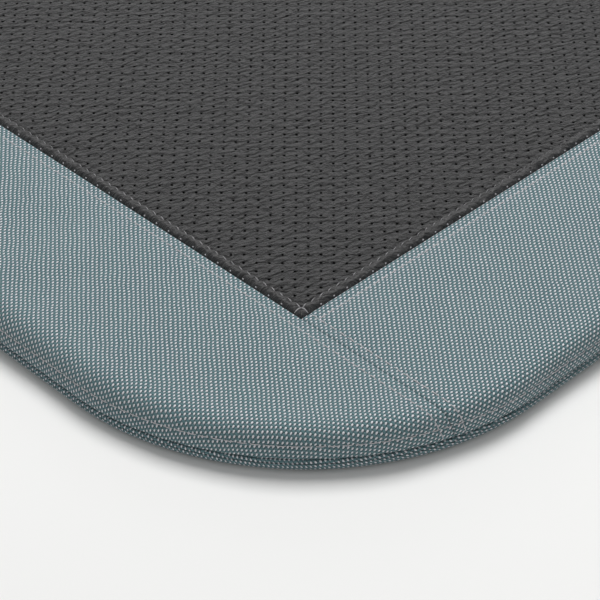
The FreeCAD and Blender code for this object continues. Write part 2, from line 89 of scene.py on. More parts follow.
CLOTH_THICKNESS = 0.9
TUCK = 1.3  # cloth that turns down inside a seam
CLOTH_ROLL = 0.55  # radius of a cloth edge where it turns into a seam
RIM_ROLL = 0.9  # the same at the edge seam
HIDE_ROLL = 2.0  # the same on the knee panel
PUFF = 1.05  # height of the padded band at the panel's edge
FULLNESS = 0.3  # how far the cloth bulges past its CAD surface, clear of seams
SWELL = 0.22  # height of the cover's slow waves
PUCKER = 0.08  # height of its gathers along the edge seam
YARN = (1.05, 0.90)  # spacing of the white yarns, and of the teal ones
FLOAT = (0.31, 0.60)  # half a white float's width and length, in spacings
LEAN = 0.12  # how far its twist makes it lean, per length

# stitching
PANEL_INSET = 3.5  # topstitch on the knee panel to its seam
CLOTH_INSET = 4.0  # topstitch on the cloth to its seam
RIM_INSET = 4.7  # edge topstitch to the edge seam, along the cloth
HIDE_STITCH = 3.6  # length of a stitch on the knee panel
CLOTH_STITCH = 3.85  # length of a stitch on the cloth
RIM_COUNT = round(4 * QUARTER / CLOTH_STITCH)  # stitches in a row right round the edge
RIM_PITCH = 4 * QUARTER / RIM_COUNT
THREAD = 0.16  # radius
THICK_THREAD = 0.2

# depth and width of the furrow that each kind of stitch row presses
CLOTH_FURROW = (0.2, 0.8)
RIM_FURROW = (0.45, 0.8)
ZIP_FURROW = (0.25, 0.7)
JOINT_FURROW = (0.4, 0.8)

# perforation
HOLE_PITCH = 4.0  # the square lattice lies at 45 degrees to the panel
HOLE_STEP = HOLE_PITCH / math.sqrt(2)  # between rows parallel to an edge
HOLE_START = 0.6  # row 0, which the seams catch, from the panel's front and right edges
HOLE_RADIUS = 0.41
HOLE_SIDES = 12
HOLE_RIM_DROP = 0.12  # how far each hole's rim is drawn down
HOLE_DEPTH = 0.9

# zip
ZIP_LINE = (span("zip_coil_front")[1][1] + span("zip_coil_rear")[0][1]) / 2
CHAIN_END = span("zip_top_stops")[1][0]
MOUTH = (CHAIN_END + 3.0, 5.5)  # half the length and width of the zip's opening
WELL = (CHAIN_END + 30.0, 14.0)  # half the length and width of the recess's roof
WELL_SLOPE = 7.0  # width of the slope round it
WELL_HEIGHT = span("zip_tape_front")[0][2] - CLOTH_THICKNESS
ZIP_STITCH_INSET = 8.5  # tape topstitch to the zip's line
ZIP_STITCH_END = CHAIN_END + 12.0  # where the tape topstitch ends along the zip
JOINT_START = WELL[0] + WELL_SLOPE  # where the topstitch of the base's joints starts
COIL_PITCH = 1.5
COIL_WIRE = 0.3  # radius
TAPE_THICKNESS = 0.3

# where mesh rows lie: distances from a seam, finer where the cloth bends
SEAM_ROWS = np.array([-TUCK, 0, 0.12, 0.28, 0.55, 0.9, 1.5, 2.3])
NEAR_ROWS = np.concatenate([SEAM_ROWS, np.arange(3, 5.3, 0.4), [6.0, 7.0]])
FAR_ROWS = np.concatenate([SEAM_ROWS, np.arange(2.9, 6.5, 0.4), np.arange(7.0, 20, 0.75)])
BASE_ROWS = np.concatenate([SEAM_ROWS, np.arange(3, 10.6, 0.5), np.arange(11.5, 24, 1.0)])
FOOT_ROWS = np.concatenate([SEAM_ROWS[:-1], np.arange(1.2, 8.5, 0.45), [9.5, 11, 13]])
BAND_ROWS = np.array([-TUCK, 0, 0.05, 0.18, 0.4, 0.7, 1.05, 1.4,
                      1.8, 2.2, 2.6, 2.9, 3.15, 3.35, 3.46, PANEL_INSET])

# heading, length and phase of each slow wave in the cloth
rng = random.Random(20)
WAVES = [(rng.uniform(0, 2 * math.pi), rng.uniform(18, 60), rng.uniform(0, 2 * math.pi))
         for _ in range(9)]


# ------------ shape of the pad
def ripple(place):
    """A slow, shallow unevenness of hand-sewn cloth, from -1 to 1."""
    total = 0
    for heading, length, phase in WAVES:
        along = place[:, 0] * math.cos(heading) + place[:, 1] * math.sin(heading)
        total = total + np.sin(2 * math.pi * along / length + phase)
    return total / len(WAVES) * 2


def section(turn, base):
    """The edge section's control points at each turn: 0 is a short side and 1 a long one."""
    ease = turn * turn * (3 - 2 * turn)
    short_side = np.array(BASE_EDGE if base else SHORT_SIDE, float)
    long_side = np.array(BASE_EDGE if base else LONG_SIDE, float)
    points = short_side + ease[:, None, None] * (long_side - short_side)
    points[:, 3, 1] = SEAM_HEIGHT + SEAM_LIFT * np.sin(math.pi * turn) ** 2
    return points


def edge_curve(turn, base):
    """Points down each edge section and how far along it each one lies."""
    t = np.linspace(0, 1, 41)
    shares = np.stack([(1 - t) ** 3, 3 * t * (1 - t) ** 2, 3 * t * t * (1 - t), t ** 3], 1)
    curve = np.einsum("sk,nkd->nsd", shares, section(turn, base))
    pieces = np.linalg.norm(np.diff(curve, axis=1), axis=2)
    along = np.concatenate([np.zeros((len(turn), 1)), np.cumsum(pieces, axis=1)], axis=1)
    return curve, along


def polar(flat):
    """Each flat point's nearest centre, outward direction, distance out and turn round the corner."""
    centre = np.clip(flat, -CENTRE, CENTRE)
    arm = flat - centre
    reach = np.linalg.norm(arm, axis=1)
    out = arm / np.maximum(reach, 1e-9)[:, None]
    turn = np.arctan2(np.abs(arm[:, 1]), np.abs(arm[:, 0])) / (math.pi / 2)
    return centre, out, reach, turn


def station(flat):
    """How far round the outline each point lies, from the middle of the +X side towards +Y."""
    _, _, _, turn = polar(flat)
    side = np.abs(flat)
    s = np.minimum(side[:, 1], CENTRE[1]) + CORNER * turn * math.pi / 2
    s = s + CENTRE[0] - np.minimum(side[:, 0], CENTRE[0])
    s = np.where(flat[:, 0] < 0, 2 * QUARTER - s, s)
    return np.where(flat[:, 1] < 0, 4 * QUARTER - s, s)


def to_rim(flat, base=False):
    """How much cloth lies between each flat point and the edge seam."""
    _, _, reach, turn = polar(flat)
    curve, along = edge_curve(turn, base)
    return CORNER - curve[:, -1, 0] + along[:, -1] - reach


def fold(flat, base=False):
    """Lays flat cloth over the pad, top or base. Gives each point's place and outward normal."""
    level, facing = (0.0, -1.0) if base else (TOP, 1.0)
    place = np.column_stack([flat, np.full(len(flat), level)])
    normal = np.tile([0.0, 0.0, facing], (len(flat), 1))
    centre, out, reach, turn = polar(flat)
    curve, along = edge_curve(turn, base)
    start = CORNER - curve[:, -1, 0]
    past = np.flatnonzero(reach > start)
    travel = np.minimum(reach[past] - start[past], along[past, -1] - 1e-6)
    after = (along[past] <= travel[:, None]).sum(axis=1)
    before = after - 1
    row = np.arange(len(past))
    step = along[past][row, after] - along[past][row, before]
    share = (travel - along[past][row, before]) / step
    one, other = curve[past][row, before], curve[past][row, after]
    point = one + share[:, None] * (other - one)
    t = ((before + share) / (curve.shape[1] - 1))[:, None]
    control = section(turn[past], base)
    tangent = ((1 - t) ** 2 * (control[:, 1] - control[:, 0])
               + 2 * t * (1 - t) * (control[:, 2] - control[:, 1])
               + t * t * (control[:, 3] - control[:, 2]))
    tangent /= np.linalg.norm(tangent, axis=1)[:, None]
    radius = (start[past] + point[:, 0])[:, None]
    place[past] = np.column_stack([centre[past] + out[past] * radius, point[:, 1]])
    sideways = -tangent[:, 1] * facing
    upward = tangent[:, 0] * facing
    normal[past] = np.column_stack([out[past] * sideways[:, None], upward])
    return place, normal


def roll(gap, radius):
    """How deep a cloth edge lies below its surface, this far from the seam that it turns into."""
    inside = np.clip(radius - gap, 0, radius)
    return radius - np.sqrt(radius ** 2 - inside ** 2)


def stitch_dent(off, along, pitch, furrow):
    """The furrow along a stitch row, deepest at the needle holes."""
    depth, width = furrow
    hole = 0.5 + 0.5 * np.cos(2 * math.pi * along / pitch)
    return depth * np.exp(-(off / width) ** 2) * (0.55 + 0.45 * hole ** 2)


# ------------ meshes
def new_piece(name, points, faces, material, body="pad", cloth=None):
    """A mesh object from points in millimetres, which rides on a CAD body. cloth holds the
    points' flat cloth coordinates."""
    mesh = bpy.data.meshes.new(name)
    mesh.from_pydata((points * MM).tolist(), [], faces.tolist())
    mesh.polygons.foreach_set("use_smooth", [True] * len(mesh.polygons))
    if cloth is not None:
        flat = mesh.attributes.new("flat_cloth", "FLOAT_VECTOR", "POINT")
        flat.data.foreach_set("vector", np.column_stack([cloth, np.zeros(len(cloth))]).ravel())
    mesh.materials.append(material)
    obj = bpy.data.objects.new(name, mesh)
    bpy.context.scene.collection.objects.link(obj)
    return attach(obj, body)


def grid_faces(rows, columns, flip=False):
    """The quads of a grid of points that is stored row by row."""
    index = np.arange(rows * columns).reshape(rows, columns)
    corners = [index[:-1, :-1], index[:-1, 1:], index[1:, 1:], index[1:, :-1]]
    quads = np.stack(corners, axis=-1).reshape(-1, 4)
    return quads[:, ::-1] if flip else quads


def welded(points, faces):
    """Joins points that lie in one place."""
    _, first, number = np.unique(np.round(points, 4), axis=0, return_index=True,
                                 return_inverse=True)
    return points[first], number.ravel()[faces]


def tubes(paths, ups, radius, sides=6):
    """Round tubes along paths (path, point, xyz), thinner at both ends. Gives their points, their
    faces and how far along and round its tube each point lies."""
    count, steps, _ = paths.shape
    ahead = np.gradient(paths, axis=1)
    ahead /= np.linalg.norm(ahead, axis=2)[:, :, None]
    across = np.cross(ahead, ups)
    across /= np.linalg.norm(across, axis=2)[:, :, None]
    above = np.cross(across, ahead)
    angle = np.arange(sides) * 2 * math.pi / sides
    taper = np.ones(steps)
    taper[[0, -1]] = 0.35
    ring = (np.cos(angle)[:, None] * across[:, :, None, :]
            + np.sin(angle)[:, None] * above[:, :, None, :])
    points = paths[:, :, None, :] + ring * radius * taper[None, :, None, None]
    index = np.arange(count * steps * sides).reshape(count, steps, sides)
    beside = np.roll(index, -1, axis=2)
    quads = np.stack([index[:, :-1], index[:, 1:], beside[:, 1:], beside[:, :-1]], axis=-1)
    lengths = np.linalg.norm(np.diff(paths, axis=1), axis=2)
    along = np.concatenate([np.zeros((count, 1)), np.cumsum(lengths, axis=1)], axis=1)
    twist = np.stack(np.broadcast_arrays(along[:, :, None], angle / (2 * math.pi)), axis=-1)
    return points.reshape(-1, 3), quads.reshape(-1, 4), twist.reshape(-1, 2)


def stitches(start, end, pitch, lay, lift=0.2, dive=0.4):
    """Thread paths over the cloth between needle holes set a pitch apart from start to end."""
    start = np.array(start, float)
    way = np.array(end, float) - start
    count = round(np.linalg.norm(way) / pitch)
    holes = start + way * np.arange(count + 1)[:, None] / count
    return over_holes(holes[:-1], holes[1:], lay, lift=lift, dive=dive)


def over_holes(begins, ends, lay, gap=0.08, lift=0.2, dive=0.4):
    """One stitch from each begin to its end in flat cloth: lift over the surface in the middle,
    dive below it at the ends, and gap is the share of its length between neighbours."""
    t = np.linspace(0, 1, 9)
    share = gap / 2 + t * (1 - gap)
    flat = begins[:, None] + (ends - begins)[:, None] * share[None, :, None]
    place, normal = lay(flat.reshape(-1, 2))
    arch = lift + (dive + lift) * (np.sin(math.pi * t) ** 0.4 - 1)
    shape = (len(begins), len(t), 3)
    normal = normal.reshape(shape)
    return place.reshape(shape) + normal * arch[None, :, None], normal


def sew(name, rows, material, replaced, radius=THREAD):
    """One piece from several rows of stitches, in the place of the replaced CAD nodes."""
    paths = np.concatenate([row[0] for row in rows])
    ups = np.concatenate([row[1] for row in rows])
    points, faces, twist = tubes(paths, ups, radius)
    obj = new_piece(name, points, faces, material, cloth=twist)
    if replaced:
        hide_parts(*replaced)
    return obj


# ------------ cover
def seam_gap(flat):
    """How far each point of the border lies from the seams that bound its strip."""
    side = np.abs(flat)
    long_strip = side[:, 1] >= PANEL[1]
    return np.where(long_strip, side[:, 1] - PANEL[1],
                    np.minimum(side[:, 0] - PANEL[0], PANEL[1] - side[:, 1]))


def cover_dent(flat):
    """Depth of the furrows that the stitch rows press into the border."""
    side = np.abs(flat)
    from_long = side[:, 1] - PANEL[1]
    from_short = side[:, 0] - PANEL[0]
    outer = stitch_dent(from_long - CLOTH_INSET, flat[:, 0], CLOTH_STITCH, CLOTH_FURROW)
    inner = stitch_dent(from_long + PANEL_INSET, flat[:, 0], CLOTH_STITCH, CLOTH_FURROW)
    short = stitch_dent(from_short - CLOTH_INSET, flat[:, 1], CLOTH_STITCH, CLOTH_FURROW)
    rim = stitch_dent(to_rim(flat) - RIM_INSET, station(flat), RIM_PITCH, RIM_FURROW)
    dent = outer + np.where(side[:, 0] > PANEL[0], inner, 0)
    dent = dent + np.where(side[:, 1] < PANEL[1] - PANEL_INSET, short, 0)
    return dent + rim


def on_cover(flat):
    """Where border cloth comes to lie, with its waves and furrows, and its outward normal there."""
    place, normal = fold(flat)
    calm = np.clip(seam_gap(flat) / 12, 0, 1) * np.clip(to_rim(flat) / 6, 0, 1)
    swell = FULLNESS * calm + SWELL * calm * ripple(flat)
    gathers = np.sin(2 * math.pi * station(flat) / RIM_PITCH / 2.7)
    pucker = PUCKER * gathers * np.exp(-(to_rim(flat) / 4) ** 2)
    height = swell + pucker - cover_dent(flat)
    return place + normal * height[:, None], normal


def outline_at(s):
    """The outline's points at stations s, measured as station() does."""
    s = np.mod(s, 4 * QUARTER)
    part = np.where(s > 2 * QUARTER, s - 2 * QUARTER, s)
    part = np.where(part > QUARTER, 2 * QUARTER - part, part)
    angle = np.clip((part - CENTRE[1]) / CORNER, 0, math.pi / 2)
    past_corner = np.clip(part - CENTRE[1] - CORNER * math.pi / 2, 0, None)
    x = CENTRE[0] + CORNER * np.cos(angle) - past_corner
    y = np.minimum(part, CENTRE[1]) + CORNER * np.sin(angle)
    x = np.where((s > QUARTER) & (s < 3 * QUARTER), -x, x)
    y = np.where(s > 2 * QUARTER, -y, y)
    return np.column_stack([x, y])


def rim_at(s, inset=0.0, base=False):
    """Flat cloth at stations s, this far in from the edge seam."""
    outline = outline_at(s)
    centre, out, reach, _ = polar(outline)
    return centre + out * (reach + to_rim(outline, base) - inset)[:, None]


def joint_station(y, base=False):
    """The station on the +X side where the rim's flat cloth reaches this y."""
    s = np.linspace(0, QUARTER, 2000)
    return np.interp(y, rim_at(s, base=base)[:, 1], s)


def spaced(length, middle, fine, zone):
    """Distances from 0 to length: a middle spacing that turns fine near both ends."""
    near = np.arange(0, zone, fine)
    between = np.linspace(zone, length - zone, max(2, round((length - 2 * zone) / middle)))
    return np.concatenate([near, between, (length - near)[::-1]])


def ruled(inner, outer, near, far, middle, aside):
    """Flat cloth between two edges, in columns from the inner to the outer one: near and far are
    the rows' distances from those edges. Gives the cloth's coordinates and the points that it is
    sewn to, because past a seam the cloth is tucked in. aside points in from the two end columns."""
    way = outer - inner
    length = np.linalg.norm(way, axis=1)
    between = np.linspace(np.full(len(length), near[-1]), length - far[-1], middle)[1:-1]
    rows = np.vstack([np.tile(near[:, None], len(length)), between, length - far[::-1, None]])
    way = way / length[:, None]
    cloth = inner + way * rows[:, :, None]
    sewn = inner + way * np.clip(rows, 0, length)[:, :, None]
    first, last = np.array(aside) * TUCK
    cloth = np.concatenate([cloth[:, :1] - first, cloth, cloth[:, -1:] - last], axis=1)
    sewn = np.concatenate([sewn[:, :1], sewn, sewn[:, -1:]], axis=1)
    return cloth, sewn


def cloth_piece(name, cloth, sewn, lay, gap, base, material):
    """A ruled piece of cloth laid on the pad, its edges rolled down into their seams."""
    rows, columns, _ = cloth.shape
    cloth, sewn = cloth.reshape(-1, 2), sewn.reshape(-1, 2)
    place, normal = lay(sewn)
    tucked = np.linalg.norm(cloth - sewn, axis=1)
    at_seam = roll(np.maximum(gap(sewn), 0), CLOTH_ROLL)
    at_rim = roll(np.maximum(to_rim(sewn, base), 0), CLOTH_ROLL if base else RIM_ROLL)
    place = place - normal * (np.maximum(at_seam, at_rim) + tucked)[:, None]
    middle = rows // 2 * columns + columns // 2
    edges = place[[middle + columns, middle + 1]] - place[middle]
    flip = np.dot(np.cross(edges[1], edges[0]), normal[middle]) < 0
    return new_piece(name, place, grid_faces(rows, columns, flip), material, cloth=cloth)


def cover_strip(name, turn, material):
    """A border strip. turn counts them from the +X one, towards +Y."""
    joint = joint_station(PANEL[1])
    long_strip = turn % 2 == 1
    reach = QUARTER - joint if long_strip else joint
    s = turn * QUARTER - reach + spaced(2 * reach, middle=0.62, fine=0.4, zone=7)
    side = -1 if turn >= 2 else 1
    begin = PANEL * (side, side if long_strip else -side)
    end = PANEL * (-side if long_strip else side, side)
    inner = begin + (end - begin) * ((s - s[0]) / (s[-1] - s[0]))[:, None]
    aside = [(0, side), (0, side)] if long_strip else [(0, side), (0, -side)]
    cloth, sewn = ruled(inner, rim_at(s), NEAR_ROWS, FAR_ROWS, middle=30, aside=aside)
    obj = cloth_piece(name + "_cloth", cloth, sewn, on_cover, seam_gap, False, material)
    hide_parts(name)
    return obj


# ------------ base
def on_base(flat):
    """Where base cloth comes to lie: flat on the floor, raised over the zip, turned up at the rim."""
    place, normal = fold(flat, base=True)
    past = np.maximum(np.abs(flat - (0, ZIP_LINE)) - WELL, 0)
    slope = np.clip(1 - np.linalg.norm(past, axis=1) / WELL_SLOPE, 0, 1)
    well = WELL_HEIGHT * slope * slope * (3 - 2 * slope)
    from_zip = np.abs(flat[:, 1] - ZIP_LINE)
    zip_rows = stitch_dent(from_zip - ZIP_STITCH_INSET, flat[:, 0], CLOTH_STITCH, ZIP_FURROW)
    joint_rows = stitch_dent(from_zip - CLOTH_INSET, flat[:, 0], CLOTH_STITCH, JOINT_FURROW)
    side = np.abs(flat[:, 0])
    dent = np.where(side < ZIP_STITCH_END, zip_rows, 0) + np.where(side > JOINT_START, joint_rows, 0)
    uneven = 0.12 * (1 + ripple(flat)) * np.clip(to_rim(flat, True) / 12, 0, 1)
    inward = well + dent + np.clip(uneven, 0, None)
    return place - normal * inward[:, None], normal


def base_gap(flat):
    """How far each point of the base lies from the seam or the zip's mouth in its way."""
    from_zip = np.abs(flat[:, 1] - ZIP_LINE)
    return np.where(np.abs(flat[:, 0]) < MOUTH[0] + 0.5, from_zip - MOUTH[1], from_zip)


def base_cloth(name, side, material):
    """One of the base's two pieces, on this side of the zip line."""
    joint = joint_station(ZIP_LINE, base=True)
    reach = QUARTER - joint if side > 0 else QUARTER + joint
    s = (2 - side) * QUARTER - reach + spaced(2 * reach, middle=0.9, fine=0.5, zone=7)
    mouth_x, mouth_y = MOUTH
    corners = np.array([(mouth_x + 1, 0), (mouth_x, mouth_y), (-mouth_x, mouth_y), (-mouth_x - 1, 0)])
    corners = corners * (side, side) + (0, ZIP_LINE)
    lengths = np.linalg.norm(np.diff(corners, axis=0), axis=1)
    along = np.concatenate([[0], np.cumsum(lengths)])
    at = (s - s[0]) / (s[-1] - s[0]) * along[-1]
    inner = np.column_stack([np.interp(at, along, corners[:, axis]) for axis in (0, 1)])
    outer = rim_at(s, base=True)
    cloth, sewn = ruled(inner, outer, BASE_ROWS, FOOT_ROWS, middle=26, aside=[(0, side)] * 2)
    obj = cloth_piece(name + "_cloth", cloth, sewn, on_base, base_gap, True, material)
    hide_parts(name)
    return obj


# ------------ knee panel
def scallop(along):
    """0 at a needle hole and 1 half way along a stitch."""
    return np.abs(np.sin(math.pi * along / HIDE_STITCH)) ** 0.8


def panel_edges(flat):
    """Distances in from the panel's nearest short edge and long edge."""
    return (PANEL - np.abs(flat)).T


def puff(inset):
    """The padded band's height this far in from the seam, as a share of its full height."""
    share = np.clip(inset / PANEL_INSET, 0, 1)
    return np.sin(math.pi * share ** 1.3) ** 0.6


def beside_row(inset):
    """0 on a stitch row and 1 clear of it."""
    return 1 - np.exp(-((inset - PANEL_INSET) / 0.6) ** 2)


def on_edge(flat):
    """Where the panel's padded band comes to lie."""
    from_short, from_long = panel_edges(flat)
    nearer = np.minimum(from_short, from_long)
    further = np.maximum(from_short, from_long)
    # Where two bands meet, each is held down by the other one's seam and stitches.
    gate = np.where(further < PANEL_INSET, puff(further), beside_row(further))
    inset = np.clip(nearer, 0, PANEL_INSET)
    along = np.where(from_short < from_long, flat[:, 1], flat[:, 0])
    pinch = 1 - 0.85 * (inset / PANEL_INSET) ** 2 * (1 - scallop(along))
    height = PUFF * puff(nearer) * gate * pinch - roll(inset, HIDE_ROLL)
    normal = np.tile([0.0, 0.0, 1.0], (len(flat), 1))
    return np.column_stack([flat, TOP + height]), normal


def on_field(flat):
    """Where the panel's perforated field comes to lie: level, and drawn down beside its stitches."""
    from_short, from_long = panel_edges(flat)
    inset = np.minimum(from_short, from_long)
    along = np.where(from_short < from_long, flat[:, 1], flat[:, 0])
    hold = 0.75 + 0.25 * np.cos(2 * math.pi * along / HIDE_STITCH)
    past_row = inset - PANEL_INSET
    furrow = 0.75 * hold * np.exp(-np.clip(past_row, 0, None) / 1.2)
    hidden = np.clip(-past_row, 0, None) * 1.4
    crown = 0.35 * np.clip(past_row / 20, 0, 1)
    calm = np.clip(past_row / 8, 0, 1)
    height = crown + 0.2 * calm * ripple(flat * 1.3) - furrow - hidden
    normal = np.tile([0.0, 0.0, 1.0], (len(flat), 1))
    return np.column_stack([flat, TOP + height]), normal


def hole_centres():
    """The perforations that the field holds, on every second point of a grid along its edges."""
    counts = np.floor((2 * PANEL - HOLE_START - 0.75) / HOLE_STEP).astype(int)
    across, up = np.meshgrid(np.arange(1, counts[0] + 1), np.arange(1, counts[1] + 1))
    chosen = (across + up) % 2 == 1
    x = PANEL[0] - HOLE_START - HOLE_STEP * across[chosen]
    y = -PANEL[1] + HOLE_START + HOLE_STEP * up[chosen]
    return np.column_stack([x, y])


def knee_field(material):
    """The perforated sheet: one diamond round each hole, with the hole's wall below it."""
    centres = hole_centres()
    count = len(centres)
    tips = np.array([(1, 0), (0, 1), (-1, 0), (0, -1)]) * HOLE_STEP
    thirds = np.arange(HOLE_SIDES // 4)[:, None] / (HOLE_SIDES // 4)
    outer = np.vstack([tips[i] + (tips[(i + 1) % 4] - tips[i]) * thirds for i in range(4)])
    angle = np.arange(HOLE_SIDES) * 2 * math.pi / HOLE_SIDES
    circle = np.column_stack([np.cos(angle), np.sin(angle)])
    rings = np.stack([outer, circle * HOLE_RADIUS * 1.7, circle * HOLE_RADIUS])
    flat = centres[:, None, None] + rings
    place, _ = on_field(flat.reshape(-1, 2))
    place = place.reshape(count, 3, HOLE_SIDES, 3)
    place[:, 2, :, 2] -= HOLE_RIM_DROP
    wall = place[:, [2, 2]].copy()
    wall[:, 1, :, 2] -= HOLE_DEPTH
    index = np.arange(count * 3 * HOLE_SIDES).reshape(count, 3, HOLE_SIDES)
    beside = np.roll(index, -1, axis=2)
    top = np.stack([index[:, :-1], beside[:, :-1], beside[:, 1:], index[:, 1:]], -1).reshape(-1, 4)
    points, top = welded(place.reshape(-1, 3), top)
    index = len(points) + np.arange(count * 2 * HOLE_SIDES).reshape(count, 2, HOLE_SIDES)
    beside = np.roll(index, -1, axis=2)
    walls = np.stack([index[:, 0], beside[:, 0], beside[:, 1], index[:, 1]], -1).reshape(-1, 4)
    points = np.vstack([points, wall.reshape(-1, 3)])
    obj = new_piece("knee_panel_field", points, np.vstack([top, walls]), material)
    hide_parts("knee_panel")
    return obj


def knee_edge(material):
    """The padded band round the panel, from its seam to the scalloped line of its stitches."""
    insets = np.clip(BAND_ROWS, 0, None)[:, None]
    # The first row is tucked into the seam, and the last ones are drawn down by the stitches.
    drop = np.zeros(len(insets))
    drop[0] = TUCK
    drop[-2:] = 0.12, 0.95
    sheets = []
    for turn in range(4):
        half, other = (PANEL[1], PANEL[0]) if turn % 2 == 0 else (PANEL[0], PANEL[1])
        shares = spaced(2 * half, middle=0.45, fine=0.3, zone=8) / half - 1
        along = shares * (half - insets)
        stretch = 1 + 0.3 * scallop(along) * (insets / PANEL_INSET) ** 2
        even = np.broadcast_to(insets, along.shape)
        # Heights come from even rows, which are then moved to bulge out between the needle holes.
        laid = []
        for inset in (even, even * stretch * 0.92):
            pair = [other - inset, along] if turn % 2 == 0 else [-along, other - inset]
            flat = np.stack(pair, axis=-1).reshape(-1, 2)
            laid.append(-flat if turn >= 2 else flat)
        place, _ = on_edge(laid[0])
        place[:, :2] = laid[1]
        place[:, 2] -= np.repeat(drop, len(shares))
        sheets.append((place, grid_faces(len(insets), len(shares), flip=True)))
    offsets = np.cumsum([0] + [len(place) for place, _ in sheets[:-1]])
    points = np.vstack([place for place, _ in sheets])
    faces = np.vstack([faces + offset for (_, faces), offset in zip(sheets, offsets)])
    obj = new_piece("knee_panel_edge", *welded(points, faces), material)
    return obj


# ------------ stitches
def on_band(flat):
    """Where thread lies on the knee panel: along the furrow, or over the band at its corners."""
    from_short, from_long = panel_edges(flat)
    band = np.minimum(from_short, from_long) < PANEL_INSET - 0.4
    place, normal = on_field(flat)
    place[:, 2] = TOP + 0.05
    place[band] = on_edge(flat[band])[0]
    return place, normal


def seam_topstitch(hide_thread, cloth_thread):
    """The two topstitch rows along each of the panel's seams. On the panel each row runs to the
    panel's edge and crosses the next one."""
    for name, axis, side in (("front", 0, -1), ("rear", 0, 1), ("left", 1, -1), ("right", 1, 1)):
        reach = PANEL[axis] - 0.25
        ends = np.full((2, 2), side * (PANEL[1 - axis] - PANEL_INSET))
        ends[:, axis] = -reach, reach
        rows = [stitches(*ends, HIDE_STITCH, on_band, lift=0.35, dive=0.65)]
        sew(name + "_panel_stitches", rows, hide_thread, [name + "_seam_topstitch"],
            radius=THICK_THREAD)
        sew(name + "_border_stitches", cloth_rows(axis, side), cloth_thread, [])


def cloth_rows(axis, side):
    """Topstitch on the border beside one of the panel's seams, and on past it to the rim."""
    if axis == 1:
        x = side * (PANEL[0] + CLOTH_INSET)
        reach = PANEL[1] - PANEL_INSET
        return [stitches((x, -reach), (x, reach), CLOTH_STITCH, on_cover)]
    outer = side * (PANEL[1] + CLOTH_INSET)
    inner = side * (PANEL[1] - PANEL_INSET)
    rows = [stitches((-rim_x(outer), outer), (rim_x(outer), outer), CLOTH_STITCH, on_cover)]
    for way in (-1, 1):
        start = (way * (PANEL[0] + 0.6), inner)
        rows.append(stitches(start, (way * rim_x(inner), inner), CLOTH_STITCH, on_cover))
    return rows


def rim_x(y):
    """How far out along X a row at this y runs, just short of the edge seam."""
    s = joint_station(abs(y))
    return rim_at(np.array([s]), inset=1.0)[0, 0]


def rim_rows(material, seam_material):
    """The topstitch round the shoulder, and the thread deep in the edge seam."""
    s = RIM_PITCH * np.arange(RIM_COUNT + 1)
    flat = rim_at(s, inset=RIM_INSET)
    sew("rim_topstitch_thread", [over_holes(flat[:-1], flat[1:], on_cover)], material,
        ["rim_topstitch"])
    deep = rim_at(s)
    sew("rim_seam_stitches", [over_holes(deep[:-1], deep[1:], on_cover, lift=-1.25, dive=1.6)],
        seam_material, ["rim_seam_thread"], radius=THICK_THREAD)


def joining_stitches(material):
    """The panel's seam: pale points of thread, one at each perforation that the seam catches."""
    rows = []
    for axis in (0, 1):
        count = math.ceil((PANEL[axis] - 2.5) / HOLE_STEP) - 1
        from_corner = HOLE_START + HOLE_STEP * (3 + 2 * np.arange(count))
        half = np.zeros(2)
        half[axis] = 0.2
        for side in (-1, 1):
            flat = np.full((count, 2), side * (PANEL[1 - axis] - HOLE_START))
            flat[:, axis] = PANEL[0] - from_corner if axis == 0 else from_corner - PANEL[1]
            rows.append(over_holes(flat - half, flat + half, on_edge, gap=0, lift=0.15, dive=0.3))
    sew("panel_seam_stitches", rows, material, ["panel_seam_thread"],
        radius=THICK_THREAD)


def base_rows(material):
    """The topstitch that holds the zip's tapes, and that of the base's two short joints."""
    reach = ZIP_STITCH_END
    for name, side in (("front", -1), ("rear", 1)):
        y = ZIP_LINE + side * ZIP_STITCH_INSET
        sew("zip_" + name + "_stitches", [stitches((-reach, y), (reach, y), CLOTH_STITCH, on_base)],
            material, ["zip_topstitch_" + name])
    rows = []
    for way in (-1, 1):
        for side in (-1, 1):
            y = ZIP_LINE + side * CLOTH_INSET
            s = joint_station(y, base=True)
            far = rim_at(np.array([s]), inset=1.2, base=True)[0, 0]
            rows.append(stitches((way * JOINT_START, y), (way * far, y), CLOTH_STITCH, on_base))
    sew("base_joint_stitches", rows, material, ["base_joint_topstitch"])


# ------------ zip
def zip_coil(name, side, material):
    """Half the zip's chain: a wound nylon wire, flattened, whose heads meet the other half's."""
    low, high = span(name)
    turns = int((high[0] - low[0] - 2 * COIL_WIRE) / COIL_PITCH)
    phase = np.linspace(0, 2 * math.pi * turns, turns * 14)
    out, rise = (high - low)[1:] / 2 - COIL_WIRE
    middle = (low + high)[1:] / 2
    x = low[0] + COIL_WIRE + COIL_PITCH * phase / (2 * math.pi) + 0.28 * np.sin(2 * phase)
    y = middle[0] - side * out * np.sign(np.cos(phase)) * np.abs(np.cos(phase)) ** 0.7
    z = middle[1] + rise * np.sign(np.sin(phase)) * np.abs(np.sin(phase)) ** 0.7
    path = np.column_stack([x + COIL_PITCH / 4 * side, y, z])[None]
    up = np.tile([1.0, 0.0, 0.0], (1, path.shape[1], 1))
    points, faces, twist = tubes(path, up, COIL_WIRE)
    obj = new_piece(name + "_wire", points, faces, material, cloth=twist)
    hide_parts(name)
    return obj


